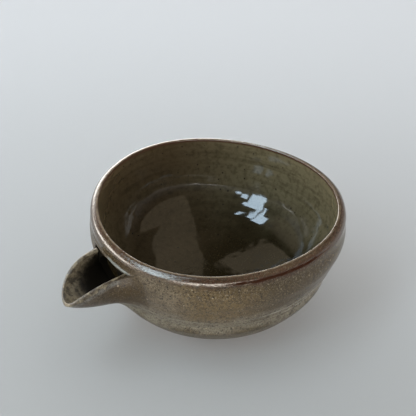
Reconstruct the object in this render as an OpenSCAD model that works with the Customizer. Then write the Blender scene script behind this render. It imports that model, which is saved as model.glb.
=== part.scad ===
// Katakuchi sake pourer: a thrown stoneware bowl with a foot ring, a side spout luted over a pour hole,
// and coats of fired glaze inside, outside, on the lip and over the spout.
// The origin is the centre of the foot's base. +Z is up and the spout points along +X. Millimetres.

/* [Bowl diameters over the glaze] */
// outside diameter of the lip
rim_d = 120; // [104:1:140]
// diameter of the belly, the widest ring under the lip
belly_d = 121.6; // [106:0.2:144]
// diameter of the waist, the shallow hollow round the middle
waist_d = 112.4; // [98:0.2:128]
// diameter of the hip, the swelling under the waist
hip_d = 109.6; // [94:0.2:124]
// diameter of the heel, where the wall turns in to the base
heel_d = 92; // [78:0.5:104]
// outside diameter of the foot ring at its top
foot_d = 54; // [44:0.5:66]

/* [Bowl heights, each above the one before] */
// height of the foot ring
foot_h = 4.5; // [3:0.1:8]
// from the top of the foot ring up to the heel
heel_rise = 5.7; // [4:0.1:9]
// from the heel up to the hip
hip_rise = 9.8; // [7:0.1:14]
// from the hip up to the waist
waist_rise = 7; // [5:0.1:10]
// from the waist up to the belly
belly_rise = 15; // [12:0.1:20]
// from the belly up to the lip's crest
lip_rise = 15; // [12:0.1:20]
// height of the rounded part of the lip
lip_drop = 3.4; // [2:0.1:5]

/* [Clay and glaze thickness] */
// clay thickness of the wall
wall_t = 3.1; // [2.2:0.1:4.5]
// clay thickness of the floor
floor_t = 5.5; // [3.5:0.1:8]
// diameter of the level floor inside, before the well curves up
well_d = 40; // [30:0.5:60]
// glaze thickness on the walls
glaze_t = 0.4; // [0.2:0.05:0.7]
// glaze thickness where it pools on the bowl's floor
pool_t = 1.2; // [0.7:0.1:2]

/* [Foot ring] */
// width of the foot ring at its top
foot_w = 6; // [4:0.1:9]
// how much each side of the foot ring slopes in towards the base
foot_taper = 0.9; // [0.3:0.1:1.4]
// bevel on both edges of the foot's base
foot_bevel = 0.7; // [0.3:0.1:1.1]

/* [Spout] */
// outside radius of the spout at its root, over the glaze
spout_r = 14.4; // [12:0.1:17]
// how far the full nose would reach past the wall
spout_reach = 28; // [20:0.5:38]
// how far inside the wall the nose begins to taper
spout_sink = 4; // [3:0.1:6]
// bluntness of the nose
spout_bluntness = 1.83; // [1.5:0.01:2.4]
// upward tilt of the spout's axis, in degrees
spout_tilt = 2.5; // [0:0.1:6]
// spout axis below the lip's crest, measured where the nose begins
spout_drop = 14.8; // [13.5:0.1:17]
// spout's own lip below the bowl's crest, at the root
spout_lip_drop = 8.7; // [7.5:0.1:10]
// how far the spout's lip would dip by the end of the full nose
spout_dip = 17.5; // [13:0.1:20]
// clay thickness of the spout
spout_t = 1.8; // [1.4:0.1:2.6]
// how far the luting fillet climbs along the spout
seam_w = 3.4; // [2.5:0.1:5]

/* [Pour hole] */
// step between the spout's inside and the hole, over the top of the hole
hole_ledge = 2.4; // [1.6:0.1:3.4]
// step between the spout's floor and the bottom of the hole
hole_sill = 0.6; // [0.4:0.1:1.2]

/* [Hidden] */
$fn = 240;

clay = [0.47, 0.36, 0.27];
inner_brown = [0.20, 0.17, 0.11];
outer_brown = [0.42, 0.36, 0.28];
rim_red = [0.38, 0.27, 0.20];
spout_dark = [0.27, 0.24, 0.19];

heel_z = foot_h + heel_rise;
hip_z = heel_z + hip_rise;
waist_z = hip_z + waist_rise;
belly_z = waist_z + belly_rise;
bowl_h = belly_z + lip_rise;
lip_z = bowl_h - lip_drop;
floor_z = foot_h + floor_t;
rim_r = rim_d / 2;
arris_r = rim_r - wall_t - 2 * glaze_t;

// Smooth wall curve: one cubic span between each two of these clay points, from the foot to the lip.
function under_glaze(d) = d / 2 - glaze_t;
wall_points = [
  [foot_d / 2, foot_h],
  [under_glaze(heel_d), heel_z],
  [under_glaze(hip_d), hip_z],
  [under_glaze(waist_d), waist_z],
  [under_glaze(belly_d), belly_z],
  [under_glaze(rim_d), lip_z]
];
last = len(wall_points) - 1;
span_steps = 7;
wall_n = last * span_steps;

function span_len(i) = norm(wall_points[i + 1] - wall_points[i]);
// The curve leaves the foot level, reaches the lip upright, and follows its neighbours between.
function point_run(i) =
  i == 0 ? [span_len(0), 0]
  : i == last ? [0, span_len(last - 1)]
  : (wall_points[i + 1] - wall_points[i - 1]) / 2;
function span_at(i, t) =
  (2 * pow(t, 3) - 3 * pow(t, 2) + 1) * wall_points[i]
  + (pow(t, 3) - 2 * pow(t, 2) + t) * point_run(i)
  + (3 * pow(t, 2) - 2 * pow(t, 3)) * wall_points[i + 1]
  + (pow(t, 3) - pow(t, 2)) * point_run(i + 1);
function span_of(k) = min(floor(k / span_steps), last - 1);
function wall_at(k) = span_at(span_of(k), k / span_steps - span_of(k));

// The outer glaze is laid off downwards at the foot, turning steadily to sideways at the hip and above it.
hip_k = 2 * span_steps;
function through_wall(k) = [sin(90 * min(k / hip_k, 1)), -cos(90 * min(k / hip_k, 1))];

clay_wall = [for (k = [0 : wall_n]) wall_at(k)];
glaze_wall = [for (k = [span_steps : wall_n]) wall_at(k) + glaze_t * through_wall(k)];
glazed_clay = [for (k = [span_steps : wall_n]) wall_at(k)];

// Inside, the well is level in the middle and curves up to the belly in a quarter of an ellipse, so the
// clay is thick at the heel. From the belly to the lip, and wherever the wall comes nearer, it is wall_t.
// Glaze covers it thinly on the wall and pools on the floor.
well_steps = 14;
belly_k = 4 * span_steps;
belly_in_r = under_glaze(belly_d) - wall_t;
wall_table = [for (p = clay_wall) [p[1], p[0]]];
function well_curve(pool, cover) = [
  for (i = [0 : well_steps])
    let (
      turn = 90 * i / well_steps,
      z = belly_z - (belly_z - floor_z - pool) * cos(turn),
      wide = well_d / 2 + (belly_in_r - cover - well_d / 2) * sin(turn)
    )
      [min(wide, lookup(z, wall_table) - wall_t - cover), z]
];
function upper_inside(cover) = [for (k = [belly_k + 1 : wall_n]) wall_at(k) - [wall_t + cover, 0]];
clay_inside = concat(well_curve(0, 0), upper_inside(0));
glaze_inside = concat(well_curve(pool_t, glaze_t), upper_inside(glaze_t));

// The lip is a quarter of an ellipse, upright on the outside and level at the inner edge.
lip_steps = 8;
function lip_arc(low, in_r, out_r, top) = [
  for (i = [0 : lip_steps])
    [in_r + (out_r - in_r) * cos(90 * i / lip_steps), low + (top - low) * sin(90 * i / lip_steps)]
];
clay_lip = lip_arc(lip_z, arris_r + glaze_t, rim_r - glaze_t, bowl_h - glaze_t);
glaze_lip = lip_arc(lip_z, arris_r, rim_r, bowl_h);

function backwards(list) = [for (i = [len(list) - 1 : -1 : 0]) list[i]];
function but_first(list) = [for (i = [1 : len(list) - 1]) list[i]];

module bowl_envelope() {
  rotate_extrude()
    polygon(concat([[0, foot_h]], clay_wall, but_first(clay_lip), [[0, bowl_h - glaze_t]]));
}

// The spout stands on the widest ring of the wall that it covers.
spout_z = bowl_h - spout_drop;
spout_lip_z = bowl_h - spout_lip_drop;
covered_wall = [for (p = clay_wall) if (p[1] > spout_z - spout_r && p[1] < spout_lip_z) p[0]];
root_r = max(covered_wall) + glaze_t;
spout_x = root_r - spout_sink;
spout_len = spout_reach + spout_sink;
spout_in_r = spout_r - spout_t - 2 * glaze_t;
root_depth = spout_r;
side_x = sqrt(pow(root_r, 2) - pow(spout_r, 2));
hole_r = spout_in_r - hole_ledge;
hole_low = hole_ledge - hole_sill;

// Full nose of the spout, smaller all round by the given amount, lying along the tilted axis.
nose_steps = 16;
function nose_curve(inset) = [
  for (i = [0 : nose_steps])
    [
      (spout_r - inset) * cos(90 * i / nose_steps),
      (spout_len - inset) * pow(sin(90 * i / nose_steps), 2 / spout_bluntness)
    ]
];

module along_spout() {
  translate([spout_x, 0, spout_z])
    rotate([0, 90 - spout_tilt, 0])
      children();
}

module nose(inset) {
  along_spout()
    rotate_extrude()
      polygon(concat(
        [[0, -root_depth - inset], [spout_r - inset, -root_depth - inset]],
        nose_curve(inset)
      ));
}

// Everything under the spout's dipping lip line, lowered by the given amount.
lip_line_steps = 20;
module under_spout_lip(lowered) {
  rotate([90, 0, 0])
    linear_extrude(height = 4 * spout_r, center = true)
      polygon(concat(
        [[spout_x - 2 * root_depth, 0], [spout_x - 2 * root_depth, spout_lip_z - lowered]],
        [
          for (i = [0 : lip_line_steps])
            [
              spout_x + spout_len * i / lip_line_steps,
              spout_lip_z - lowered - spout_dip * pow(i / lip_line_steps, 3)
            ]
        ],
        [[spout_x + spout_len, 0]]
      ));
}

module glazed_spout() {
  intersection() {
    difference() {
      nose(0);
      nose(spout_t + 2 * glaze_t);
    }
    under_spout_lip(0);
  }
}

module clay_spout() {
  intersection() {
    difference() {
      nose(glaze_t);
      nose(glaze_t + spout_t);
    }
    under_spout_lip(glaze_t);
  }
}

// Flared fillet round the nose. It starts flush with the glaze and widens back into the bowl's wall.
seam_steps = 6;
seam_len = 2 * seam_w;
seam_front = side_x - spout_x + seam_w;
seam_in_r = spout_r - glaze_t - spout_t / 2;
function nose_r(x) = spout_r * sqrt(1 - pow(max(x, 0) / spout_len, spout_bluntness));
function seam_r(back) = nose_r(seam_front - back) + pow(back, 2) / (4 * seam_w);
module seam_ring() {
  intersection() {
    along_spout()
      rotate_extrude()
        polygon(concat(
          [[seam_in_r, -root_depth], [seam_r(seam_len), -root_depth]],
          [
            for (i = [seam_steps : -1 : 0])
              [seam_r(seam_len * i / seam_steps), seam_front - seam_len * i / seam_steps]
          ],
          [[seam_in_r, seam_front]]
        ));
    under_spout_lip(0);
  }
}

module pour_hole() {
  translate([spout_x, 0, spout_z - hole_low])
    rotate([0, 90 - spout_tilt, 0])
      translate([0, 0, -root_depth])
        cylinder(r = hole_r, h = 2 * root_depth);
}

// Thrown clay wall, floor and lip, pierced by the pour hole.
module bowl_body() {
  color(clay)
    difference() {
      rotate_extrude()
        polygon(concat(
          [[0, foot_h]],
          clay_wall,
          but_first(clay_lip),
          backwards(clay_inside),
          [[0, floor_z]]
        ));
      pour_hole();
    }
}

// Turned foot ring of bare clay under the base.
module foot_ring() {
  out_r = foot_d / 2;
  in_r = out_r - foot_w;
  color(clay)
    rotate_extrude()
      polygon([
        [in_r, foot_h],
        [in_r + foot_taper, foot_bevel],
        [in_r + foot_taper + foot_bevel, 0],
        [out_r - foot_taper - foot_bevel, 0],
        [out_r - foot_taper, foot_bevel],
        [out_r, foot_h]
      ]);
}

// Open trough of the spout, its root cut to the curve of the bowl's clay wall.
module spout_trough() {
  color(clay)
    difference() {
      clay_spout();
      bowl_envelope();
    }
}

// Luting clay pressed into the corner between the spout and the bowl.
module spout_seam() {
  color(outer_brown)
    difference() {
      seam_ring();
      bowl_envelope();
      nose(glaze_t);
    }
}

// Dark glaze that lines the bowl and pools in its well.
module inner_glaze() {
  color(inner_brown)
    difference() {
      rotate_extrude()
        polygon(concat(
          [[0, floor_z], [0, floor_z + pool_t]],
          glaze_inside,
          [[arris_r, bowl_h], [arris_r + glaze_t, bowl_h - glaze_t]],
          backwards(clay_inside)
        ));
      pour_hole();
    }
}

// Speckled glaze on the outside, from above the foot up to the lip.
module outer_glaze() {
  color(outer_brown)
    difference() {
      rotate_extrude()
        polygon(concat(glaze_wall, backwards(glazed_clay)));
      glazed_spout();
      seam_ring();
      pour_hole();
    }
}

// Reddish band where the glaze breaks over the lip.
module rim_glaze() {
  color(rim_red)
    rotate_extrude()
      polygon(concat(glaze_lip, backwards(clay_lip)));
}

// Glaze over the spout: inside, over its lip and outside.
module spout_glaze() {
  color(spout_dark)
    difference() {
      glazed_spout();
      clay_spout();
      bowl_envelope();
      seam_ring();
    }
}

bowl_body();
foot_ring();
spout_trough();
spout_seam();
inner_glaze();
outer_glaze();
rim_glaze();
spout_glaze();
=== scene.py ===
# %% [markdown]
# # A katakuchi sake pourer
#
# A katakuchi is a pouring bowl: a thrown bowl with one spout luted on its side, over a hole in the wall.
# The measured solids come first. Every piece below is modelled in the same place, in metres, and stands
# for one of those solids.

# %% Load the measured solids
import bisect
import math
import random

import bmesh
import bpy
from mathutils import Matrix, Vector


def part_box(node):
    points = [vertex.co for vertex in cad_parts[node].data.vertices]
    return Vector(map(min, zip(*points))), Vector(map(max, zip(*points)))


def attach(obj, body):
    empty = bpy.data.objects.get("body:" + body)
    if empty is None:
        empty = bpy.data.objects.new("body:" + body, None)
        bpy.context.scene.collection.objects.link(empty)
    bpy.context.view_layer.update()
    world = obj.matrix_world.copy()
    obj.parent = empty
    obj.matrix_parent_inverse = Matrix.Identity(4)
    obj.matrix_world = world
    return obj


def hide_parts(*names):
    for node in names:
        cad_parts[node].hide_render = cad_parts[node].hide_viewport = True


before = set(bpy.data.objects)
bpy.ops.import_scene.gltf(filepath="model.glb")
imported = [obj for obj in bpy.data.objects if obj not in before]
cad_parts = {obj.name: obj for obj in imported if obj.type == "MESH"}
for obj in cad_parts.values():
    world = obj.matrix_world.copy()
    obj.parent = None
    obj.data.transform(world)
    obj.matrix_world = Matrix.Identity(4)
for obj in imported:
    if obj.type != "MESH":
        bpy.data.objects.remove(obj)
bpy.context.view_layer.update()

mm = 0.001
print("nodes:", sorted(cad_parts))

# %% [markdown]
# ## The camera
#
# The photograph looks down into the bowl with the spout towards the lower left. The angle, distance and
# lens were worked out from the ellipse of the lip. The camera comes first, so that every piece can be
# judged in the photograph's own frame.

# %% Camera
rim_low, rim_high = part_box("rim_glaze")
bowl_h = rim_high.z
rim_centre = Vector((0, 0, bowl_h))

view_turn = math.radians(51.0)
view_height = math.radians(36.35)
view_roll = math.radians(1.5)
view_distance = 360 * mm
frame_px = 416
rim_px = (216.0, 199.1)

towards_camera = Vector((
    math.cos(view_height) * math.cos(view_turn),
    math.cos(view_height) * math.sin(view_turn),
    math.sin(view_height),
))
bpy.ops.object.camera_add(location=rim_centre + view_distance * towards_camera)
camera = bpy.context.object
camera.name = "photo_camera"
look = (-towards_camera).to_track_quat("-Z", "Y").to_matrix()
look.rotate(Matrix.Rotation(view_roll, 3, towards_camera))
camera.rotation_euler = look.to_euler()
camera.data.sensor_width = 36
camera.data.lens = 64.6
camera.data.shift_x = -(rim_px[0] - frame_px / 2) / frame_px
camera.data.shift_y = (rim_px[1] - frame_px / 2) / frame_px
camera.data.clip_start = 0.01
bpy.context.scene.camera = camera
print("camera at", [round(v, 4) for v in camera.location])

# %% [markdown]
# ## The bowl's outline
#
# A thrown bowl is a solid of revolution, so it is drawn once as an outline and spun about the wheel's
# axis. The outline passes through a few named heights: foot, heel, hip, waist, belly and lip. A cubic
# curve between them keeps the wall smooth.

# %% A smooth curve through points


def curve_runs(points, first, last):
    """The direction and speed of the curve at each point; the two ends are given."""
    inner = [(there - here) / 2 for here, there in zip(points, points[2:])]
    return [first] + inner + [last]


def curve_at(points, runs, s):
    """A place on the curve: s is a whole number at each point."""
    i = min(int(s), len(points) - 2)
    t = s - i
    return (
        (2 * t**3 - 3 * t**2 + 1) * points[i]
        + (t**3 - 2 * t**2 + t) * runs[i]
        + (3 * t**2 - 2 * t**3) * points[i + 1]
        + (t**3 - t**2) * runs[i + 1]
    )


def steps(first, last, count):
    return [first + (last - first) * i / count for i in range(count + 1)]


def from_list(pairs):
    """Points from pairs of radius and height in mm."""
    return [Vector((r * mm, z * mm)) for r, z in pairs]


# %% Outline of the wall
_, foot_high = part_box("foot_ring")
foot_r = foot_high.x
foot_h = foot_high.z
rim_r = rim_high.x
lip_z = rim_low.z
glaze_t = 0.4 * mm
wall_t = 3.1 * mm
arris_r = rim_r - wall_t - 2 * glaze_t

wall_points = (
    [Vector((foot_r, foot_h))]
    + from_list([(45.6, 10.2), (54.4, 20.0), (55.8, 27.0), (60.4, 42.0)])
    + [Vector((rim_r - glaze_t, lip_z))]
)
heel, hip, belly, lip = 1, 2, 4, 5
wall_runs = curve_runs(
    wall_points,
    Vector(((wall_points[heel] - wall_points[0]).length, 0)),
    Vector((0, (wall_points[lip] - wall_points[belly]).length)),
)


def wall_at(s):
    """Clay surface outside: s is 0 at the foot, and a whole number at each named height."""
    return curve_at(wall_points, wall_runs, s)


def through_wall(s):
    """Direction out through the wall: down under the foot, turning to sideways at the hip."""
    a = math.pi / 2 * min(s / hip, 1)
    return Vector((math.sin(a), -math.cos(a)))


print("lip radius", round(rim_r / mm, 2), "mm, height", round(bowl_h / mm, 2), "mm")

# %% [markdown]
# ## Outside and inside surfaces
#
# Fingers leave shallow rings in wheel-thrown clay. They are part of the outline, so they catch the light
# from every side. Inside, the potter left more clay at the heel: the well is round, with no corner.

# %% Rings, outer surface and inner surface


def ring(z, at, height, width):
    return height * math.exp(-(((z - at) / width) ** 2))


def finger_rings(z, waves):
    """Height of the thrown rings in mm, from waves of (height, length, shift)."""
    return sum(height * math.sin(z / (length * mm) + shift) for height, length, shift in waves)


outer_waves = [(0.035, 0.9, 0), (0.06, 1.7, 1.3)]
inner_waves = [(0.03, 1.5, 0), (0.02, 0.83, 1)]


def outer_surface(s):
    p = wall_at(s)
    return p + (glaze_t + finger_rings(p.y, outer_waves) * mm) * through_wall(s)


well_points = from_list([
    (0, 10.4), (12, 10.9), (24, 12.4), (32.5, 14.2), (40.5, 16.9), (46.9, 21.2),
    (51.2, 26.2), (54.0, 31.2), (55.9, 36.6), (56.8, 42.0), (56.75, 47.4),
]) + [Vector((arris_r, lip_z)), Vector((arris_r, bowl_h - 0.55 * mm))]
well_runs = curve_runs(well_points, Vector((12 * mm, 0)), Vector((0, 3 * mm)))
well_end = len(well_points) - 1


def inner_surface(s, sunk=0.0):
    p = curve_at(well_points, well_runs, s)
    ahead = curve_at(well_points, well_runs, min(s + 0.01, well_end))
    behind = curve_at(well_points, well_runs, max(s - 0.01, 0))
    run = (ahead - behind).normalized()
    up_the_wall = min(1, max(0, (p.y - 26 * mm) / (8 * mm)))
    fingers = finger_rings(p.y, inner_waves) * up_the_wall + ring(p.y, 27.6 * mm, 0.02, 0.8 * mm)
    away = Vector((run.y, -run.x))
    return p + (sunk - fingers * mm * min(1, p.x / (30 * mm))) * away


def clay_inside(s):
    """The clay under the lining, which is thicker at the bottom."""
    return inner_surface(s, sunk=(0.5 + 0.4 * max(0, 1 - s / 5)) * mm)


print("well depth", round((bowl_h - well_points[0].y) / mm, 1), "mm")

# %% [markdown]
# ## Spinning an outline
#
# The plane's corners are merged to one vertex, which is extruded along the outline. Spin then turns the
# outline about the wheel's axis. Doubles at the poles are merged, and the faces are turned outwards.

# %% Spin helper


def pick(piece):
    bpy.ops.object.select_all(action="DESELECT")
    piece.select_set(True)
    bpy.context.view_layer.objects.active = piece


def edit(piece):
    pick(piece)
    bpy.ops.object.mode_set(mode="EDIT")


def close_up(piece):
    """Turn all faces outwards and leave edit mode."""
    bpy.ops.mesh.select_all(action="SELECT")
    bpy.ops.mesh.normals_make_consistent(inside=False)
    bpy.ops.object.mode_set(mode="OBJECT")
    print(piece.name, "has", len(piece.data.polygons), "faces")


def new_vertex(name, place):
    bpy.ops.object.select_all(action="DESELECT")
    bpy.ops.mesh.primitive_plane_add(size=1 * mm, location=(0, 0, 0))
    piece = bpy.context.object
    piece.name = name
    piece.data.name = name
    bpy.ops.object.mode_set(mode="EDIT")
    bpy.ops.mesh.select_all(action="SELECT")
    bpy.ops.mesh.merge(type="CENTER")
    bpy.ops.transform.translate(value=place)
    return piece


def spun(name, outline, closed, around=192):
    """A piece of revolution from (radius, height) points; a closed outline joins its ends."""
    places = [Vector((p[0], 0, p[1])) for p in outline]
    piece = new_vertex(name, places[0])
    for here, there in zip(places, places[1:]):
        bpy.ops.mesh.extrude_vertices_move(TRANSFORM_OT_translate={"value": there - here})
    if closed:
        mesh = bmesh.from_edit_mesh(piece.data)
        for v in mesh.verts:
            v.select_set(len(v.link_edges) == 1)
        bmesh.update_edit_mesh(piece.data)
        bpy.ops.mesh.edge_face_add()
    bpy.ops.mesh.select_all(action="SELECT")
    bpy.ops.mesh.spin(steps=around, angle=math.tau, center=(0, 0, 0), axis=(0, 0, 1))
    bpy.ops.mesh.select_all(action="SELECT")
    bpy.ops.mesh.remove_doubles(threshold=0.001 * mm)
    close_up(piece)
    return piece


# %% [markdown]
# ## The lip
#
# The lip leans outwards: a crisp inner edge, a slope and a rounded shoulder. Glaze runs thin there, so the
# lip is a piece of its own.

# %% Outline of the lip
arris_round = 0.55 * mm


def lip_arc(in_r, out_r, top, count):
    arc = []
    for a in steps(0, math.pi / 2, count):
        arc.append(Vector((in_r + (out_r - in_r) * math.cos(a), lip_z + (top - lip_z) * math.sin(a))))
    return arc


clay_lip = lip_arc(arris_r + glaze_t, rim_r - glaze_t, bowl_h - glaze_t, 14)
glaze_lip = lip_arc(arris_r + arris_round, rim_r, bowl_h, 44)
for a in steps(0, math.pi / 2, 6)[1:]:
    glaze_lip.append(Vector((
        arris_r + arris_round * (1 - math.sin(a)),
        bowl_h - arris_round * (1 - math.cos(a)),
    )))
arris_low = Vector((arris_r + glaze_t, bowl_h - arris_round))
clay_lip_top = [p for p in clay_lip if p.y < arris_low.y or p.x > arris_low.x + 0.2 * mm]
lip_glaze = spun("lip_glaze", glaze_lip + [arris_low] + clay_lip_top[::-1], closed=True)

# %% [markdown]
# ## Clay bowl, lining and outer coat
#
# The clay is one closed solid. The lining and the outer coat are real layers on it, each a closed outline
# with two faces, as fired glaze is. The base keeps the fine rings of the turning tool.

# %% Clay bowl
base_rings = [
    Vector((r * mm, foot_h + 0.07 * mm * math.sin(r * 4.2)))
    for r in steps(0, 20.5, 60)
]
under_lining = [arris_low] + [clay_inside(s) for s in steps(well_end - 1, 0, 70)]
clay_outline = (
    base_rings
    + [wall_at(s) for s in steps(0, lip, 60)]
    + clay_lip_top[1:]
    + under_lining
)
bowl_clay = spun("bowl_clay", clay_outline, closed=False)

# %% Lining
lining_outline = [inner_surface(s) for s in steps(0, well_end, 168)] + under_lining
bowl_lining = spun("bowl_lining", lining_outline, closed=False)

# %% Outer coat
coat_outline = (
    [outer_surface(s) for s in steps(heel, lip, 190)]
    + [wall_at(s) for s in steps(lip, heel, 50)]
)
outer_coat = spun("outer_coat", coat_outline, closed=True)

# %% [markdown]
# ## Marks of the hand
#
# The groove under the lip, the lines at the waist and the ridge over the spout are strong on one side and
# fade on the other, so they can't be spun. The vertices of the outer surface are moved in or out, by their
# height and by their turn about the axis.

# %% Groove under the lip, lines at the waist and ridge over the spout
waist_crests = (30.8, 27.4)


def ease(t):
    """From 0 to 1 with soft ends, and flat beyond them."""
    t = min(1, max(0, t))
    return t * t * (3 - 2 * t)


def fade(turn, first, last, soft):
    """1 between two turns in degrees, falling to 0 over the soft range."""
    middle = (first + last) / 2
    off = abs((turn - middle + 180) % 360 - 180) - (last - first) / 2
    return ease(1 - off / soft)


def mark_depth(turn, z):
    """How far a place is pressed in. Each mark has a share, and a height, depth and width in mm."""
    beside_lip = 0.1 + 0.9 * fade(turn, 64, 104, 9)
    at_waist = 0.3 + 0.7 * fade(turn, 88, 165, 30)
    over_spout = fade(turn, -14, 16, 10)
    marks = [
        (beside_lip, 54.75, 0.34, 0.42),
        (at_waist, 29.2, 0.26, 0.6),
        (at_waist, 25.9, 0.26, 0.55),
        (at_waist, waist_crests[0], -0.28, 0.5),
        (at_waist, waist_crests[1], -0.28, 0.5),
        (over_spout, 49.9, -0.36, 0.62),
    ]
    return sum(share * ring(z, at * mm, deep * mm, wide * mm) for share, at, deep, wide in marks)


def press_marks(piece, skin_r):
    for v in piece.data.vertices:
        r = math.hypot(v.co.x, v.co.y)
        if r < skin_r(v.co.z):
            continue
        turn = math.degrees(math.atan2(v.co.y, v.co.x))
        smaller = 1 - mark_depth(turn, v.co.z) / r
        v.co.x *= smaller
        v.co.y *= smaller


wall_table = [wall_at(s) for s in steps(heel, lip, 300)]


def radius_at(table, z):
    i = bisect.bisect(table, z, lo=1, hi=len(table) - 1, key=lambda p: p.y)
    here, there = table[i - 1], table[i]
    share = min(1, max(0, (z - here.y) / (there.y - here.y)))
    return here.x + (there.x - here.x) * share


def lip_skin(z):
    lift = min(1, max(0, (z - lip_z) / (bowl_h - lip_z)))
    return arris_r + (rim_r - glaze_t / 2 - arris_r) * math.sqrt(1 - lift**2)


press_marks(outer_coat, lambda z: radius_at(wall_table, z) + 0.15 * mm)
press_marks(lip_glaze, lip_skin)
print("marks pressed into", outer_coat.name, "and", lip_glaze.name)

# %% [markdown]
# ## Foot ring
#
# The foot is turned from the leather-hard base with a loop tool: a ring with a softened edge and fine
# tool lines. It is bare clay, because glaze there would stick to the kiln shelf.

# %% Foot ring
foot_in_r = 21.0 * mm
foot_taper = 0.9 * mm
foot_bevel = 0.7 * mm
tool_line = 0.05 * mm


def foot_side(r, lean, count):
    side = []
    for t in steps(0, 1, count):
        line = tool_line * math.sin(t * 26)
        side.append(Vector((r + lean * t + line, foot_h + (foot_bevel - foot_h) * t)))
    return side


def foot_edge(r, turn):
    edge = []
    for a in steps(0, math.pi / 2, 4)[1:]:
        edge.append(Vector((r + turn * foot_bevel * (1 - math.cos(a)), foot_bevel * (1 - math.sin(a)))))
    return edge


inner_side = foot_side(foot_in_r, foot_taper, 24) + foot_edge(foot_in_r + foot_taper, 1)
outer_side = foot_side(foot_r, -foot_taper, 24) + foot_edge(foot_r - foot_taper, -1)
foot_clay = spun("foot_clay", inner_side + outer_side[::-1], closed=True)

# %% [markdown]
# ## The spout
#
# The spout is a slab of clay, bent over a nose-shaped form into a trough and cut to a dipping lip. The lip
# is a little higher on one side, as the hand left it.

# %% Form of the spout
outer_table = [outer_surface(s) for s in steps(heel, lip, 300)]
spout_r = 14.4 * mm
spout_sink = 4.0 * mm
spout_reach = 28.0 * mm
bluntness = 1.83
tilt_degrees = 2.5
tilt = math.tan(math.radians(tilt_degrees))
spout_x = max(p.x for p in wall_table) + glaze_t - spout_sink
spout_z = bowl_h - 14.8 * mm
spout_len = spout_reach + spout_sink
spout_lip_z = bowl_h - 8.15 * mm
spout_dip = 15.2 * mm
dip_bend = 2.82
tip_dip = 4.9 * mm
tip_bend = 10
root_skew, tip_skew, most_skew = 5.5, 26.4, 24
spout_t = 2.6 * mm
keel_rise = 0.9 * mm


def axis_z(x):
    share = min(1, max(0, (x - spout_x) / spout_len))
    return spout_z + tilt * (x - spout_x) + keel_rise * math.sin(math.pi * share)


def nose_r(x, inset=0.0):
    share = max(0.0, x - spout_x) / (spout_len - inset)
    return (spout_r - inset) * math.sqrt(max(0.0, 1 - share**bluntness))


def spout_lip_at(x, y):
    """Height of the spout's lip; its skew is in degrees."""
    share = max(0.0, x - spout_x) / spout_len
    skew = math.tan(math.radians(min(most_skew, root_skew + tip_skew * share**3)))
    return spout_lip_z - spout_dip * share**dip_bend - tip_dip * share**tip_bend + skew * y


# %% [markdown]
# Every place on the spout is found along a ray from inside the trough, where it meets the form. The range
# is halved again and again until it is small enough.

# %% Rays from the heart of the trough
heart = Vector((spout_x + 0.5 * mm, 0, axis_z(spout_x)))


def last_before(start, end, past, count):
    """The last value on the way from start to end that isn't past a limit, by halving the range."""
    for _ in range(count):
        mid = (start + end) / 2
        if past(mid):
            end = mid
        else:
            start = mid
    return start


def meet_form(turn, down, inset):
    """The place where a ray from the heart of the trough meets the form."""
    level = math.cos(down)
    ray = Vector((math.cos(turn) * level, math.sin(turn) * level, -math.sin(down)))

    def outside(far):
        p = heart + far * ray
        return math.hypot(p.y, p.z - axis_z(p.x)) > nose_r(p.x, inset)

    return heart + last_before(0.0, 40 * mm, outside, 22) * ray


def lip_angle(turn, inset, lowered):
    """How far above or below level the ray to the spout's lip points, for one turn."""

    def over(down):
        p = meet_form(turn, down, inset)
        return p.z > spout_lip_at(p.x, p.y) - lowered

    return last_before(1.2, -1.2, over, 20)


print("heart of the trough", [round(v / mm, 1) for v in heart])

# %% [markdown]
# A flat grid is the slab. Its columns go round the trough and its rows go from the keel up, over the
# rounded lip and down inside.

# %% Sections of the trough
columns, rows, lip_rows = 96, 30, 7
thin_side = 0.15
thin_lip_side = 0.3
most_lip_round = 0.8 * mm
thick_from = 0.45


def wall_middle(p):
    """The same place, moved back to the middle of the bowl's wall."""
    return Vector((math.sqrt((radius_at(wall_table, p.z) - wall_t / 2) ** 2 - p.y**2), p.y, p.z))


def trough_section(turn, inset, thickness, thin_lip):
    """One column: up the outside, over the lip and down the inside, where the wall thickens."""
    side = math.sin(turn)
    full = thickness * (1 - thin_side * side)
    lip_share = thin_lip - thin_lip_side * side
    lip_round = min(most_lip_round, 0.5 * full * lip_share)
    out_top = lip_angle(turn, inset, inset + lip_round)
    in_top = lip_angle(turn, inset + full * lip_share, inset + lip_round)
    outside = [meet_form(turn, down, inset) for down in steps(math.pi / 2, out_top, rows)]
    inside = []
    for t in steps(0, 1, rows):
        thick = full * (lip_share + (1 - lip_share) * ease(t / thick_from))
        inside.append(meet_form(turn, in_top + t * (math.pi / 2 - in_top), inset + thick))
    middle = (outside[-1] + inside[0]) / 2
    half = (outside[-1] - inside[0]) / 2
    over = []
    for a in steps(0, math.pi, lip_rows + 1)[1:-1]:
        over.append(middle + math.cos(a) * half + Vector((0, 0, math.sin(a) * lip_round)))
    return outside + over + inside


# %% [markdown]
# Each vertex of the grid is moved to its place, and the two ends are filled. Each vertex also keeps its row
# as an attribute, which the glaze uses later.

# %% Slab bent into a trough


def over_lip(row):
    """-1 at the keel outside, 0 on the lip and 1 at the keel inside."""
    return min(0, row / rows - 1) + max(0, (row - rows - lip_rows - 1) / rows)


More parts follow.
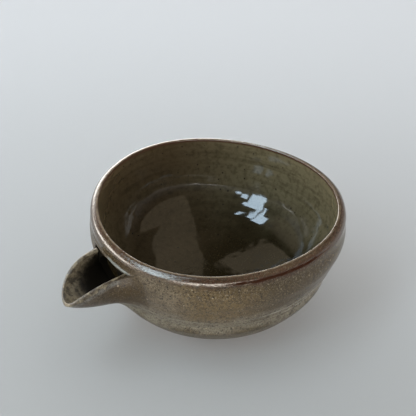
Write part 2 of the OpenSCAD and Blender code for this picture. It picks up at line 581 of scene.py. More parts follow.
def bent_grid(name, sections, row_value=None):
    """A flat grid moved onto sections, one for each column, and closed at both ends."""
    long_way = len(sections) - 1
    short_way = len(sections[0]) - 1
    bpy.ops.object.select_all(action="DESELECT")
    bpy.ops.mesh.primitive_grid_add(x_subdivisions=long_way, y_subdivisions=short_way, size=1)
    piece = bpy.context.object
    piece.name = name
    piece.data.name = name
    if row_value:
        kept = piece.data.attributes.new("over_lip", "FLOAT", "POINT")
    for v in piece.data.vertices:
        column = round((v.co.x + 0.5) * long_way)
        row = round((v.co.y + 0.5) * short_way)
        v.co = sections[column][row]
        if row_value:
            kept.data[v.index].value = row_value(row)
    edit(piece)
    bpy.ops.mesh.select_all(action="SELECT")
    bpy.ops.mesh.remove_doubles(threshold=0.001 * mm)
    bpy.ops.mesh.select_all(action="DESELECT")
    bpy.ops.mesh.select_non_manifold()
    bpy.ops.mesh.fill()
    close_up(piece)
    return piece


def trough(name, inset, thickness, thin_lip):
    turns = steps(-math.pi / 2, math.pi / 2, columns)
    sections = [trough_section(turn, inset, thickness, thin_lip) for turn in turns]
    sections.insert(0, [wall_middle(p) for p in sections[0]])
    sections.append([wall_middle(p) for p in sections[-1]])
    return bent_grid(name, sections, over_lip)


spout_clay = trough("spout_clay", glaze_t, spout_t - 2 * glaze_t, 0.4)
spout_coat = trough("spout_coat", 0.0, spout_t, 0.62)

# %% [markdown]
# ## Luting clay round the spout
#
# The potter presses soft clay into the corner between spout and bowl and strokes it smooth, so the spout
# seems to grow out of the wall. A grid is wrapped along the corner. Its section is a curve that leaves the
# wall and the spout without a step, and its back lies hidden in the corner.

# %% Corner between spout and bowl
sunk = 0.04 * mm


def seam_on_bowl(turn):
    """How far the clay spreads over the wall: more on the near side and at the keel."""
    return (6.2 + 3.2 * math.sin(turn) + 2.2 * math.cos(turn)) * mm


def seam_on_spout(turn):
    return (6.6 + 3.6 * math.sin(turn) + 2.6 * math.cos(turn)) * mm


def nose_point(turn, x, inset=0.0):
    r = nose_r(x) - inset
    return Vector((x, r * math.sin(turn), axis_z(x) - r * math.cos(turn)))


def corner(turn):
    """Where the spout meets the wall: turn is 0 at the keel and a right angle at each side."""

    def outside(x):
        p = nose_point(turn, x)
        return math.hypot(p.x, p.y) > radius_at(outer_table, p.z)

    return nose_point(turn, last_before(spout_x - 6 * mm, spout_x + 6 * mm, outside, 24))


def on_spout(turn, along):
    return nose_point(turn, corner(turn).x + along, sunk)


def on_bowl(turn, out):
    p = corner(turn)
    middle = axis_z(p.x)
    grown = 1 + out / nose_r(p.x)
    y, z = p.y * grown, middle + (p.z - middle) * grown
    return Vector((math.sqrt((radius_at(outer_table, z) - sunk) ** 2 - y**2), y, z))


def end_turn(place, side, raised):
    """The turn at which a run along the corner comes up to the spout's lip."""

    def over(turn):
        p = place(side * turn)
        return p.z > spout_lip_at(p.x, p.y) + raised

    return side * last_before(0.0, 2.6, over, 24)


print("corner at the keel", [round(v / mm, 1) for v in corner(0)])

# %% Luting clay
seam_columns, seam_rows = 96, 14
hollow = 0.62
back_depth, back_share = 1.2 * mm, 0.06


def seam_section(bowl_turn, spout_turn):
    """A curve from the wall (b) to the spout (s), with its back in the corner (j)."""
    step = 0.2 * mm
    b_out, s_out = seam_on_bowl(bowl_turn), seam_on_spout(spout_turn)
    b = on_bowl(bowl_turn, b_out)
    s = on_spout(spout_turn, s_out)
    b_run = (on_bowl(bowl_turn, b_out - step) - b).normalized()
    s_run = (on_spout(spout_turn, s_out - step) - s).normalized()
    j = corner((bowl_turn + spout_turn) / 2)
    b_hand = b + hollow * (j - b).length * b_run
    s_hand = s + hollow * (j - s).length * s_run
    section = []
    for t in steps(0, 1, seam_rows):
        u = 1 - t
        section.append(u**3 * b + 3 * u * u * t * b_hand + 3 * u * t * t * s_hand + t**3 * s)
    hidden = j - Vector((back_depth, 0, 0)) + Vector((0, -j.y, axis_z(j.x) - j.z)) * back_share
    return section + [hidden, section[0]]


def rounded_end(section, lifts):
    ends = []
    hidden = section[-2]
    for lift, size in lifts:
        ends.append([hidden + size * (p - hidden) + Vector((0, 0, lift)) for p in section])
    return ends


seam_low = -0.75 * mm
bowl_rise = {-1: 0.2 * mm, 1: 2.0 * mm}
bowl_ends = [
    end_turn(lambda a: on_bowl(a, seam_on_bowl(a)), side, seam_low + bowl_rise[side])
    for side in (-1, 1)
]
spout_ends = [
    end_turn(lambda a: on_spout(a, seam_on_spout(a)), side, seam_low)
    for side in (-1, 1)
]
seam_sections = []
for t in steps(0, 1, seam_columns):
    bowl_turn = bowl_ends[0] + t * (bowl_ends[1] - bowl_ends[0])
    spout_turn = spout_ends[0] + t * (spout_ends[1] - spout_ends[0])
    seam_sections.append(seam_section(bowl_turn, spout_turn))
lifts = [(0.35 * mm, 0.97), (0.6 * mm, 0.88), (0.72 * mm, 0.7)]
seam_sections = (
    rounded_end(seam_sections[0], lifts)[::-1]
    + seam_sections
    + rounded_end(seam_sections[-1], lifts)
)
luting_clay = bent_grid("luting_clay", seam_sections)

# %% [markdown]
# ## Pour hole
#
# Inside the spout's root a round hole is cut through the wall with a hole cutter. A cylinder is the cutter:
# its ends are flared, so the edges of the hole come out softened, and a Boolean takes it out of the clay
# and both coats. Where the two meshes nearly share a point the cut leaves slivers, which are merged away.

# %% Pour hole
hole_r = 9.4 * mm
hole_z = spout_z - 1.8 * mm
hole_flare = 1.3 * mm
flare_run = 2 * mm
flare_x = (spout_x - 2.0 * mm, spout_x + 4.5 * mm)
cutter_ends = (40 * mm, 68 * mm)
sliver = 0.003 * mm
hole_outline = [
    Vector((0, cutter_ends[0])),
    Vector((hole_r + hole_flare, cutter_ends[0])),
]
for x in steps(44 * mm, 66 * mm, 44):
    open_out = max(0, (flare_x[0] - x) / flare_run, (x - flare_x[1]) / flare_run)
    hole_outline.append(Vector((hole_r + hole_flare * min(1, open_out) ** 2, x)))
hole_outline += [Vector((hole_r + hole_flare, cutter_ends[1])), Vector((0, cutter_ends[1]))]
cutter = spun("hole_cutter", hole_outline, closed=False, around=64)
to_centre = Matrix.Translation((0, 0, -spout_x))
lie_down = Matrix.Rotation(math.radians(90 - tilt_degrees), 4, "Y")
to_spout = Matrix.Translation((spout_x, 0, hole_z))
cutter.data.transform(to_spout @ lie_down @ to_centre)


def cut_hole(piece):
    pick(piece)
    cut = piece.modifiers.new("pour_hole", "BOOLEAN")
    cut.operation = "DIFFERENCE"
    cut.solver = "EXACT"
    cut.object = cutter
    bpy.ops.object.modifier_apply(modifier=cut.name)
    edit(piece)
    bpy.ops.mesh.select_all(action="SELECT")
    bpy.ops.mesh.remove_doubles(threshold=sliver)
    bpy.ops.mesh.dissolve_degenerate(threshold=sliver)
    close_up(piece)


for piece in (bowl_clay, bowl_lining, outer_coat):
    cut_hole(piece)
bpy.data.objects.remove(cutter)

# %% [markdown]
# ## Out of round
#
# Handling the soft bowl, and luting the spout on, pulled it out of round: wider to one side, and a little
# flat in front. A Lattice bends all the pieces together, so the coats stay on the clay. The foot stays
# round and flat, because the lattice only moves sideways and fades out towards the base.

# %% Lattice
lattice_half = 95 * mm
lattice_low, lattice_high = -10 * mm, 68 * mm
lattice_count = (21, 21, 9)
spout_in_photo = math.radians(219)
most_wobble = 0.3
random.seed(7)


def out_of_round(turn):
    """Share by which the radius grows, from waves that go two and three times round."""
    a = turn + spout_in_photo
    return (
        0.0275 * math.cos(2 * a) - 0.0048 * math.sin(2 * a)
        + 0.0215 * math.cos(3 * a) + 0.008 * math.sin(3 * a)
    )


def rise(z):
    """How much a height is bent: nothing at the foot, all of it at the lip."""
    return ease((z - 6 * mm) / (40 * mm))


bpy.ops.object.select_all(action="DESELECT")
bpy.ops.object.add(type="LATTICE", location=(0, 0, (lattice_low + lattice_high) / 2))
hand = bpy.context.object
hand.scale = (2 * lattice_half, 2 * lattice_half, lattice_high - lattice_low)
hand.data.points_u, hand.data.points_v, hand.data.points_w = lattice_count
bpy.context.view_layer.update()
for point in hand.data.points:
    place = hand.matrix_world @ point.co
    turn = math.atan2(place.y, place.x)
    wobble = random.uniform(-most_wobble, most_wobble) * mm
    push = rise(place.z) * (place.xy.length * out_of_round(turn) + wobble)
    moved = place + push * Vector((math.cos(turn), math.sin(turn), 0))
    point.co_deform = hand.matrix_world.inverted() @ moved
pieces = [
    bowl_clay, bowl_lining, outer_coat, lip_glaze,
    foot_clay, spout_clay, spout_coat, luting_clay,
]
for piece in pieces:
    pick(piece)
    bend = piece.modifiers.new("out_of_round", "LATTICE")
    bend.object = hand
    bpy.ops.object.modifier_apply(modifier=bend.name)
    bpy.ops.object.shade_smooth_by_angle(angle=math.radians(32))
bpy.data.objects.remove(hand)
print(len(pieces), "pieces bent together")

# %% [markdown]
# ## Finishes
#
# All colour comes from noise on each piece's own coordinates, in metres, so a blot of 3 mm is 3 mm on
# every piece, and the speckle runs on across a join. A few small helpers keep the node trees short. They add
# nodes to one tree at a time, which is the last one begun.

# %% Node helpers


def node(kind, sockets, **settings):
    made = tree.nodes.new("ShaderNode" + kind)
    for key, value in settings.items():
        setattr(made, key, value)
    for key, value in sockets.items():
        if isinstance(value, bpy.types.NodeSocket):
            tree.links.new(value, made.inputs[key])
        else:
            made.inputs[key].default_value = value
    return made


def new_finish(name):
    global tree
    finish = bpy.data.materials.new(name)
    finish.use_nodes = True
    tree = finish.node_tree
    return finish, node("TexCoord", {}).outputs["Object"]


def sums(operation, a, b):
    return node("Math", {0: a, 1: b}, operation=operation).outputs[0]


def times(*shares):
    """Shares multiplied together."""
    total = shares[0]
    for share in shares[1:]:
        total = sums("MULTIPLY", total, share)
    return total


def paint(share, under, over):
    """Lay one colour over another; share is how much of it shows."""
    under = under if isinstance(under, bpy.types.NodeSocket) else (*under, 1)
    over = over if isinstance(over, bpy.types.NodeSocket) else (*over, 1)
    return node("Mix", {0: share, 6: under, 7: over}, data_type="RGBA").outputs[2]


def coats(colour, layers):
    """Lay several colours over one another, each given as (share, colour)."""
    for share, over in layers:
        colour = paint(share, colour, over)
    return colour


# %% [markdown]
# Sizes and distances given to the patterns are in millimetres. Only ramp takes its values as they are.

# %% Pattern helpers


def blots(place, size, detail=3.0, fine=0.55):
    """Soft random blots of about this size, around 0.5."""
    sockets = {"Vector": place, "Scale": 1 / (size * mm), "Detail": detail, "Roughness": fine}
    return node("TexNoise", sockets).outputs["Fac"]


def ramp(value, low, high, first=0.0, last=1.0):
    """From first to last while the value goes from low to high."""
    sockets = {"Value": value, "From Min": low, "From Max": high, "To Min": first, "To Max": last}
    return node("MapRange", sockets, interpolation_type="SMOOTHSTEP").outputs["Result"]


def near(place, spot, inside, outside):
    """1 within a distance of a spot on the pot, and 0 beyond another."""
    gap = node("VectorMath", {0: place, 1: spot}, operation="DISTANCE").outputs["Value"]
    return ramp(gap, outside * mm, inside * mm)


def specks(place, spacing, size, share):
    """Round dots in some of the cells of a random pattern; size is in cell widths."""
    cells = node("TexVoronoi", {"Vector": place, "Scale": 1 / (spacing * mm)})
    dots = ramp(cells.outputs["Distance"], size, 0.55 * size)
    lot = node("SeparateColor", {0: cells.outputs["Color"]}).outputs[0]
    return times(dots, sums("LESS_THAN", lot, share))


def ragged(place, size, amount):
    """The same coordinates pushed about a little, so that dots lose their round outline."""
    push = node("TexNoise", {"Vector": place, "Scale": 1 / (size * mm), "Detail": 2.0}).outputs["Color"]
    sockets = {0: push, 1: (amount * mm, amount * mm, amount * mm), 2: place}
    return node("VectorMath", sockets, operation="MULTIPLY_ADD").outputs[0]


def on_wall(turn, z, r=61.0):
    """A spot on the outside, from its turn in degrees and its height in mm."""
    a = math.radians(turn)
    return Vector((r * math.cos(a), r * math.sin(a), z)) * mm


# %% [markdown]
# ## The speckled glaze outside
#
# Ash and iron in the glaze came out differently over the pot: pinkish by the spout, ochre in front, grey at
# the waist, where the band is also painted paler as light on its upper slope. The two crests there get
# painted highlights, and a painted highlight lies as a grey streak under the spout's lip.

# %% Clouds of colour
grey_brown = (0.066, 0.046, 0.023)
ochre = (0.130, 0.088, 0.037)
pinkish = (0.150, 0.115, 0.072)
root_brown = (0.055, 0.035, 0.014)
waist_grey_and_light = (0.196, 0.176, 0.130)
olive_low = (0.084, 0.068, 0.038)
crest_highlight_grey = (0.310, 0.300, 0.260)
spout_highlight_grey = (0.160, 0.154, 0.138)
spout_grey = (0.098, 0.080, 0.060)
crest_turns = (96, 108)
lip_line_skew = 0.12


def below_spout_lip(along):
    """How far a place lies under the line of the spout's lip."""
    share = times(sums("SUBTRACT", along["X"], spout_x), 1 / spout_len)
    dip = sums("POWER", sums("MAXIMUM", share, 0.001), dip_bend)
    lip_line = sums("SUBTRACT", spout_lip_z, times(dip, spout_dip))
    lip_line = sums("ADD", lip_line, times(along["Y"], lip_line_skew))
    return sums("SUBTRACT", lip_line, along["Z"])


def ground(place, along, wavy, root):
    """The colours that lie under the specks."""
    level = sums("ADD", along["Z"], wavy)
    below = sums("ADD", below_spout_lip(along), times(wavy, 0.25))
    # Painted highlight: a pale grey streak along the outside of the spout, under its lip.
    spout_highlight = times(
        ramp(below, 0.7 * mm, 1.4 * mm),
        ramp(below, 4.0 * mm, 2.2 * mm, 0.0, 0.85),
        ramp(along["X"], 62.5 * mm, 66 * mm),
    )
    layers = [
        (ramp(blots(place, 24, 2.0), 0.42, 0.60), olive_low),
        (near(place, on_wall(50, 42), 12, 36), ochre),
        (near(place, on_wall(24, 44), 8, 24), pinkish),
        (times(near(place, on_wall(96, 42), 12, 40), 0.7), root_brown),
        (root, root_brown),
        (ramp(along["X"], 63 * mm, 78 * mm, 0.0, 0.75), spout_grey),
        (spout_highlight, spout_highlight_grey),
        # Grey glaze at the waist, painted paler too where the waist's upper slope catches light.
        (times(ramp(level, 20 * mm, 25 * mm), ramp(level, 36 * mm, 29 * mm), 0.8), waist_grey_and_light),
        (ramp(level, 24 * mm, 18 * mm), olive_low),
    ]
    # Painted highlights: pale grey lines along the two crests at the waist.
    for crest, turn in zip(waist_crests, crest_turns):
        off = sums("ABSOLUTE", sums("SUBTRACT", along["Z"], crest * mm), 0.0)
        highlight_by_crest = near(place, on_wall(turn, crest, 57), 14, 30)
        layers.append((times(ramp(off, 0.55 * mm, 0.15 * mm, 0.0, 0.75), highlight_by_crest), crest_highlight_grey))
    return coats(grey_brown, layers)


# %% [markdown]
# Towards the lip the glaze is thin and breaks to red brown. Over all of it lie blots, dark iron dots and
# pale ash dots.

# %% Red lip, blots and specks
dark_blot = (0.040, 0.028, 0.017)
red_brown = (0.062, 0.029, 0.017)
iron = (0.020, 0.015, 0.011)
ash = (0.330, 0.270, 0.185)


def red_lip(place, z, wavy):
    """Where the glaze breaks to red brown, which begins a little higher by the spout."""
    by_spout = near(place, on_wall(15, 54), 22, 34)
    red_z = sums("SUBTRACT", z, times(by_spout, 1.3 * mm))
    red_z = sums("ADD", red_z, times(wavy, 0.5))
    return ramp(red_z, 51.0 * mm, 54.8 * mm)


def speckle(place, z, colour, red, root, mottle, grain):
    """Blots, dust and dots over a colour."""
    dust = blots(ragged(place, 2, 3), 0.6, 3.0, 0.7)
    less_dust = ramp(sums("MAXIMUM", red, root), 0.0, 1.0, 1.0, 0.6)
    rough_place = ragged(place, 0.7, 0.5)
    edge = ramp(z, bowl_h - 0.10 * mm, bowl_h - 0.02 * mm, 0.0, 0.4)
    return coats(colour, [
        (ramp(blots(place, 8, 3.0), 0.48, 0.68, 0.0, 0.4), root_brown),
        (ramp(mottle, 0.50, 0.72, 0.0, 0.62), dark_blot),
        (ramp(grain, 0.49, 0.62, 0.0, 0.9), dark_blot),
        (times(ramp(dust, 0.52, 0.66, 0.0, 0.52), less_dust), ash),
        (specks(rough_place, 2.3, 0.22, 0.35), iron),
        (times(specks(rough_place, 3.1, 0.16, 0.3), ramp(red, 0.0, 0.6, 0.8, 0.3)), ash),
        (times(edge, ramp(mottle, 0.30, 0.55)), ash),
    ])


# %% [markdown]
# One function puts these together for the wall, the lip, the luting clay and the outside of the spout, so
# their joins don't show. It paints the shade in the groove beside the lip at the right as a dark red line.
# On the wall it also paints the shade round the pour hole black, and a painted highlight as a pale strip
# over it.

# %% Whole speckled glaze
groove_shade_red = (0.040, 0.016, 0.009)
hole_shade_black = (0.008, 0.007, 0.005)
painted_highlight_grey = (0.185, 0.195, 0.172)
hole_spot = Vector((58, 0, 41)) * mm


def speckled(place, with_hole):
    """Colour, roughness and bump height of the outside, and where it is dull."""
    along = node("SeparateXYZ", {0: place}).outputs
    z = along["Z"]
    mottle = blots(place, 3.6, 4.0, 0.62)
    grain = blots(place, 1.0, 3.0, 0.7)
    wavy = ramp(blots(place, 9, 3.0), 0.3, 0.7, -2.0 * mm, 2.0 * mm)
    root = near(place, on_wall(12, 40, 66), 9, 19)
    red = red_lip(place, z, wavy)
    colour = paint(red, ground(place, along, wavy, root), red_brown)
    colour = speckle(place, z, colour, red, root, mottle, grain)
    groove_z = sums("ADD", z, times(wavy, 0.16))
    groove = times(
        ramp(groove_z, 53.4 * mm, 54.5 * mm),
        ramp(groove_z, 55.6 * mm, 55.0 * mm),
        near(place, on_wall(80, 55), 17, 31),
        ramp(mottle, 0.30, 0.48, 0.35, 1.0),
    )
    # Painted shade: the groove beside the lip is painted dark red.
    colour = paint(groove, colour, groove_shade_red)
    dull = groove
    if with_hole:
        # Painted shade: round the pour hole the wall is painted black.
        hole_shade = times(near(place, hole_spot, 15, 18), ramp(z, 49.8 * mm, 48.2 * mm))
        colour = paint(hole_shade, colour, hole_shade_black)
        dull = sums("MAXIMUM", hole_shade, groove)
        # Painted highlight: a pale strip on the ridge over the pour hole.
        painted_highlight_strip = times(
            near(place, on_wall(6, 50.5), 5.5, 9),
            ramp(groove_z, 48.9 * mm, 49.6 * mm),
            ramp(groove_z, 51.3 * mm, 50.7 * mm, 0.0, 0.85),
        )
        colour = paint(painted_highlight_strip, colour, painted_highlight_grey)
    glossy = ramp(z, 44 * mm, 52.5 * mm, 0.40, 0.09)
    sheen = near(place, on_wall(116, 27, 56), 16, 36)
    glossy = sums("SUBTRACT", glossy, times(sheen, 0.22))
    rough = sums("ADD", glossy, ramp(mottle, 0.45, 0.7, 0.0, 0.08))
    rough = sums("MAXIMUM", rough, times(dull, 0.6))
    rough = sums("MAXIMUM", rough, times(root, 0.42))
    height = sums("ADD", times(mottle, 0.6), times(grain, 0.8))
    return colour, rough, height, dull


# %% [markdown]
# Three finishes use it, each with its own shine and its own depth of bumps in millimetres. The lip shines
# most, with a warm tint.

# %% Finishes of wall, luting clay and lip
lip_tint = (1.0, 0.93, 0.82, 1)


def finish_shader(colour, rough, height, dull, shine, deep):
    shader = tree.nodes["Principled BSDF"]
    tree.links.new(ramp(dull, 0.0, 0.8, shine, 0.0), shader.inputs["Specular IOR Level"])
    tree.links.new(colour, shader.inputs["Base Color"])
    tree.links.new(rough, shader.inputs["Roughness"])
    bump = node("Bump", {"Height": height, "Distance": deep * mm, "Strength": 1.0})
    tree.links.new(bump.outputs["Normal"], shader.inputs["Normal"])


outer_finish, place = new_finish("speckled_glaze")
finish_shader(*speckled(place, True), shine=0.42, deep=0.06)
luting_finish, place = new_finish("speckled_glaze_on_luting")
finish_shader(*speckled(place, False), shine=0.25, deep=0.06)
lip_finish, place = new_finish("red_brown_lip")
finish_shader(*speckled(place, False), shine=0.95, deep=0.18)
tree.nodes["Principled BSDF"].inputs["Specular Tint"].default_value = lip_tint
print("finishes:", outer_finish.name, luting_finish.name, lip_finish.name)

# %% [markdown]
# ## The olive lining
#
# Inside, the glaze is thick and glassy: nearly black where it pooled at the bottom, paler olive up the wall,
# with painted shade in brown on the side away from the window, a dark run under the pour hole and small dark
# specks. It is smooth enough to mirror a window, and a slight waviness bends that reflection.

# %% Olive lining
pool = (0.013, 0.009, 0.002)
olive = (0.172, 0.150, 0.088)
shaded_olive_brown = (0.076, 0.053, 0.028)
pale_fleck = (0.22, 0.19, 0.12)
shaded_side_spot = Vector((10, -58, 40)) * mm
run_spot = Vector((50, -9, 28)) * mm
along_rings = (0.06, 0.06, 1.0)
lining_finish, place = new_finish("olive_lining")
z = node("SeparateXYZ", {0: place}).outputs["Z"]
mottle = blots(place, 2.6, 4.0, 0.6)
drift = sums("ADD", z, times(blots(place, 18, 3.0), 16 * mm))
thrown = node("VectorMath", {0: place, 1: along_rings}, operation="MULTIPLY").outputs[0]
colour = coats(pool, [
    (ramp(drift, 19 * mm, 42 * mm), olive),
    # Painted shade: the side of the lining away from the window is painted darker brown.
    (times(near(place, shaded_side_spot, 20, 80), 0.95), shaded_olive_brown),
    (ramp(mottle, 0.42, 0.70, 0.0, 0.4), pool),
    (ramp(blots(thrown, 3.0, 3.0, 0.6), 0.44, 0.72, 0.0, 0.34), pool),
    (specks(ragged(place, 0.8, 0.5), 2.6, 0.22, 0.14), iron),
    (ramp(blots(place, 0.9, 3.0, 0.7), 0.56, 0.72, 0.0, 0.16), pale_fleck),
    (times(near(place, run_spot, 10, 24), 0.9), pool),
    (ramp(z, bowl_h - 2.2 * mm, bowl_h - 0.8 * mm), red_brown),
])
rough = ramp(mottle, 0.4, 0.75, 0.05, 0.11)
height = sums("ADD", blots(place, 7, 1.0), times(mottle, 0.04))
shaded_bore = near(place, hole_spot, 11, 13)
finish_shader(colour, rough, height, shaded_bore, shine=0.5, deep=0.10)
print("finish:", lining_finish.name)

# %% [markdown]
# ## The spout's coat
#
# Outside it matches the wall. The lip of the spout is ochre with dark blotches, and inside it turns almost
# black. The slab's own rows say where that is: they were kept as an attribute, below 0 outside, 0 on the
# lip and above 0 inside.

# %% Spout coat
spout_dark = (0.020, 0.018, 0.016)
lip_ochre = (0.265, 0.220, 0.145)
spout_finish, place = new_finish("spout_coat")
colour, _, height, _ = speckled(place, False)
lip_row = node("Attribute", {}, attribute_name="over_lip").outputs["Fac"]
wander = ramp(blots(place, 3, 4.0), 0.3, 0.7, -0.05, 0.05)
ragged_lip = sums("ADD", lip_row, wander)
blotch = ramp(blots(place, 2.4, 3.0), 0.50, 0.64, 0.0, 0.7)
# Painted shade: near the pour hole the trough is painted black.
hole_shade = times(near(place, hole_spot, 10, 22), ramp(ragged_lip, 0.0, 0.15))
colour = coats(colour, [
    (times(ramp(ragged_lip, -0.03, 0.02), ramp(ragged_lip, 0.34, 0.10)), lip_ochre),
    (times(blotch, ramp(ragged_lip, -0.05, 0.05)), spout_dark),
    (ramp(ragged_lip, 0.07, 0.37), spout_dark),
    (ramp(blots(place, 1.1, 3.0, 0.7), 0.50, 0.66, 0.0, 0.6), dark_blot),
    (hole_shade, hole_shade_black),
])
rough = ramp(ragged_lip, -0.05, 0.3, 0.34, 0.45)
rough = sums("ADD", rough, times(hole_shade, 0.3))
finish_shader(colour, rough, height, hole_shade, shine=0.3, deep=0.07)
print("finish:", spout_finish.name)

# %% [markdown]
# ## Bare clay
#
# The foot and the base are unglazed: warm, matt stoneware with sandy grain and iron dots. The bore of the
# pour hole lies in shade, and that shade is painted black on the clay.

# %% Bare clay
clay_warm = (0.310, 0.190, 0.115)
clay_pale = (0.400, 0.270, 0.175)
clay_dark = (0.17, 0.10, 0.06)
clay_finish, place = new_finish("bare_clay")
grain = blots(place, 0.9, 4.0, 0.65)
# Painted shade: the clay in the bore of the pour hole is painted black.
shaded_bore = near(place, hole_spot, 13, 15)
colour = coats(clay_warm, [
    (ramp(blots(place, 14, 3.0), 0.38, 0.64), clay_pale),
    (ramp(grain, 0.52, 0.75, 0.0, 0.6), clay_dark),
    (specks(ragged(place, 0.8, 0.6), 3.2, 0.2, 0.5), iron),
    (shaded_bore, hole_shade_black),
])
rough = ramp(shaded_bore, 0.2, 0.9, 0.86, 0.6)
finish_shader(colour, rough, grain, shaded_bore, shine=0.5, deep=0.16)
print("finish:", clay_finish.name)

# %% [markdown]
# ## Dressing the pieces
#
# Each piece gets its finish and rides on the pot's one body, and the measured solid it stands for is hidden.

# %% Dress and ride
stands_for = [
    (bowl_clay, "bowl_body", "clay", clay_finish),
    (foot_clay, "foot_ring", "clay", clay_finish),
    (bowl_lining, "inner_glaze", "inner_glaze", lining_finish),
    (outer_coat, "outer_glaze", "outer_glaze", outer_finish),
    (lip_glaze, "rim_glaze", "rim_glaze", lip_finish),
    (spout_coat, "spout_glaze", "spout_glaze", spout_finish),
    (spout_clay, "spout_trough", "clay", clay_finish),
    (luting_clay, "spout_seam", "outer_glaze", luting_finish),
]
for piece, solid, slot, finish in stands_for:
    piece.data.materials.clear()
    piece.data.materials.append(finish)
    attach(piece, "root")
    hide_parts(solid)
print(len(stands_for), "pieces dressed")

# %% [markdown]
# ## Floor and light
#
# The pot stands on a plain pale table, painted darker in front and lighter towards the back as painted light
# and shade. The light is soft and even from all round, with one tall window over the spout.

# %% Floor
floor_half = 4.0
table_shaded_near = (0.485, 0.497, 0.495)
table_lit_far = (0.77, 0.80, 0.83)
to_back = (-math.cos(view_turn), -math.sin(view_turn), 0)
bpy.ops.object.select_all(action="DESELECT")
bpy.ops.mesh.primitive_plane_add(size=2 * floor_half, location=(0, 0, 0))
floor = bpy.context.object
floor.name = "floor"
floor_finish, place = new_finish("pale_table")
away = node("VectorMath", {0: place, 1: to_back}, operation="DOT_PRODUCT").outputs["Value"]
# Painted light and shade: the table is darker in front and lighter towards the back.
colour = paint(ramp(away, -0.20, 0.45), table_shaded_near, table_lit_far)
shader = tree.nodes["Principled BSDF"]
tree.links.new(colour, shader.inputs["Base Color"])
shader.inputs["Roughness"].default_value = 0.8
shader.inputs["Specular IOR Level"].default_value = 0.1
floor.data.materials.append(floor_finish)
print("floor", 2 * floor_half, "m wide")

# %% [markdown]
# The window is built of panes, because its bars show in the glassy lining. Each pane has a second lamp that
# diffuse rays don't see: it brightens the reflection in the glaze, and the table doesn't grow brighter. The
# list gives the left and low edge, the width and the height of each, in metres.

# %% Window
window_way = Vector((0.643, 0.0, 0.766)).normalized()
window_far = 0.9
window_turn = math.radians(13.7)
pane_light, pane_tint = 4.0, (0.80, 0.92, 1.0)
glint_light, glint_tint = 9.0, (0.57, 0.79, 1.0)
glint_gap = 0.02
across = Vector((0, 1, 0))
upward = window_way.cross(across).normalized()
across, upward = (
    math.cos(window_turn) * across + math.sin(window_turn) * upward,
    math.cos(window_turn) * upward - math.sin(window_turn) * across,
)


def pane(name, left, low, wide, tall, far, strength, tint, lights_room):
    lamp = bpy.data.lights.new(name, "AREA")
    lamp.shape = "RECTANGLE"
    lamp.size = wide
    lamp.size_y = tall
    lamp.color = tint
    lamp.energy = strength * math.pi * wide * tall
    holder = bpy.data.objects.new(name, lamp)
    bpy.context.collection.objects.link(holder)
    holder.visible_diffuse = lights_room
    centre = window_way * far + (left + wide / 2) * across + (low + tall / 2) * upward
    holder.matrix_world = Matrix((
        (across.x, upward.x, window_way.x, centre.x),
        (across.y, upward.y, window_way.y, centre.y),
        (across.z, upward.z, window_way.z, centre.z),
        (0, 0, 0, 1),
    ))


panes = [
    (-0.142, -0.515, 0.208, 0.60),
    (-0.142, 0.085, 0.068, 0.39),
    (-0.214, -0.115, 0.048, 0.35),
    (-0.284, 0.235, 0.118, 0.35),
    (0.226, -0.495, 0.10, 0.12),
    (0.116, -0.415, 0.09, 0.14),
    (0.056, -0.115, 0.06, 0.14),
    (-0.014, 0.325, 0.07, 0.16),
]
for i, sizes in enumerate(panes):
    pane("pane_" + str(i), *sizes, window_far, pane_light, pane_tint, True)
    pane("glint_" + str(i), *sizes, window_far - glint_gap, glint_light, glint_tint, False)
print("window of", len(panes), "panes")

# %% [markdown]
# A wide lamp on the ceiling softens the shadows. The glaze doesn't mirror it.

# %% Ceiling light
ceiling_light = 0.46
ceiling = bpy.data.lights.new("ceiling", "AREA")
ceiling.size = 1.6
ceiling.energy = ceiling_light * math.pi * ceiling.size**2
ceiling_holder = bpy.data.objects.new("ceiling", ceiling)
ceiling_holder.location = (-0.3, -0.35, 1.5)
ceiling_holder.rotation_euler = ceiling_holder.location.to_track_quat("Z", "Y").to_euler()
bpy.context.collection.objects.link(ceiling_holder)
ceiling_holder.visible_glossy = False
ceiling_holder.visible_camera = False
print("ceiling light", round(ceiling.energy, 2), "W")

# %% [markdown]
# A glaze shows the room around it as well as its own colour. The room is painted on the world, by
# direction. Low down there are two kinds of wall: an even one that lights the pot, and one with bright
# strips, which only glossy rays see. A strip has a turn, half a width, a top edge and a strength.

# %% Low walls
strips = [
    (250, 24, 0.37, 9.0),
    (52, 24, 0.25, 12.0),
    (316, 26, 0.30, 10.0),
]
world = bpy.data.worlds.new("room")
bpy.context.scene.world = world
world.use_nodes = True
tree = world.node_tree
way = node("TexCoord", {}).outputs["Generated"]
push = node("TexNoise", {"Vector": way, "Scale": 3.0, "Detail": 3.0}).outputs["Color"]
push = node("VectorMath", {0: push, 1: (0.5, 0.5, 0.5)}, operation="SUBTRACT").outputs[0]
sockets = {0: push, 1: (0.06, 0.06, 0.06), 2: way}
rough_way = node("VectorMath", sockets, operation="MULTIPLY_ADD").outputs[0]
parts = node("SeparateXYZ", {0: rough_way}).outputs
x, y, z = parts["X"], parts["Y"], parts["Z"]


def sky_way(turn, high):
    """A direction, from its turn about the axis and its height over the horizon in degrees."""
    a = math.radians(turn)
    e = math.radians(high)
    return Vector((math.cos(e) * math.cos(a), math.cos(e) * math.sin(a), math.sin(e)))


def facing(ray, direction):
    """1 where a ray goes this way, and less the further it turns away."""
    return node("VectorMath", {0: ray, 1: direction}, operation="DOT_PRODUCT").outputs["Value"]


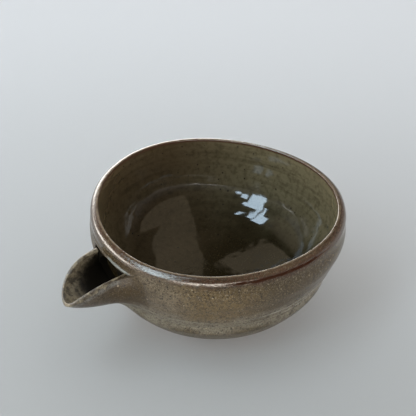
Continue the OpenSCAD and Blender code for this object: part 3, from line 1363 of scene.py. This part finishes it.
low = ramp(z, 0.50, 0.24)
low_walls = times(low, ramp(facing(way, sky_way(231, 0)), -0.8, 0.9, 2.6, 5.0))
shine = times(low, 0.35)
for turn, half, top, strength in strips:
    edge = math.cos(math.radians(half))
    side = ramp(facing(way, sky_way(turn, 0)), edge - 0.04, edge + 0.01)
    strip = times(side, ramp(z, top - 0.03, top + 0.03, strength, 0.0))
    shine = sums("ADD", shine, strip)
print(len(strips), "bright strips on the walls")

# %% [markdown]
# Higher up there are two pale patches and a pale side wall. They show in the lining, and light the pot
# faintly too.

# %% Pale patches
patch_edge_way = Vector((0.914, -0.397, -0.078))
tall_light, low_light, side_light = 0.42, 0.60, 0.4
right_edge = ramp(facing(rough_way, patch_edge_way), -0.270, -0.282)
slant = sums("ADD", x, times(y, -0.25))
wide_part = times(ramp(y, 0.08, 0.11), ramp(slant, -0.82, -0.80))
narrow_part = times(ramp(y, 0.11, 0.08), ramp(slant, -0.55, -0.53))
above_walls = ramp(z, 0.56, 0.59)
tall_shape = sums("MAXIMUM", wide_part, narrow_part)
tall_patch = times(right_edge, tall_shape, above_walls, tall_light)
low_patch = times(
    ramp(y, -0.525, -0.545),
    ramp(x, -0.11, -0.14),
    ramp(x, -0.43, -0.40),
    above_walls,
    low_light,
)
side_wall = ramp(facing(rough_way, sky_way(-58, 36)), 0.88, 0.97, 0.0, side_light)
pale = sums("MAXIMUM", sums("MAXIMUM", tall_patch, low_patch), side_wall)
print("patch strengths", tall_light, low_light, side_light)

# %% [markdown]
# The Light Path node tells the rays apart. Glossy rays see the strips, all others the even wall, and the
# camera sees plain light behind the table.

# %% Room light
base_light, camera_light = 0.06, 0.75
room_tint, patch_tint = (0.93, 0.92, 0.91), (1.0, 0.84, 0.60)
path = node("LightPath", {}).outputs
sockets = {0: path["Is Glossy Ray"], 2: low_walls, 3: shine}
walls = node("Mix", sockets, data_type="FLOAT").outputs[0]
light = sums("ADD", sums("MAXIMUM", walls, pale), base_light)
sockets = {0: path["Is Camera Ray"], 2: light, 3: camera_light}
light = node("Mix", sockets, data_type="FLOAT").outputs[0]
warm = times(ramp(z, 0.50, 0.56), path["Is Glossy Ray"])
sky = tree.nodes["Background"]
tree.links.new(paint(warm, room_tint, patch_tint), sky.inputs["Color"])
tree.links.new(light, sky.inputs["Strength"])
bpy.context.scene.view_settings.view_transform = "Standard"
print("room light of", len(tree.nodes), "nodes")
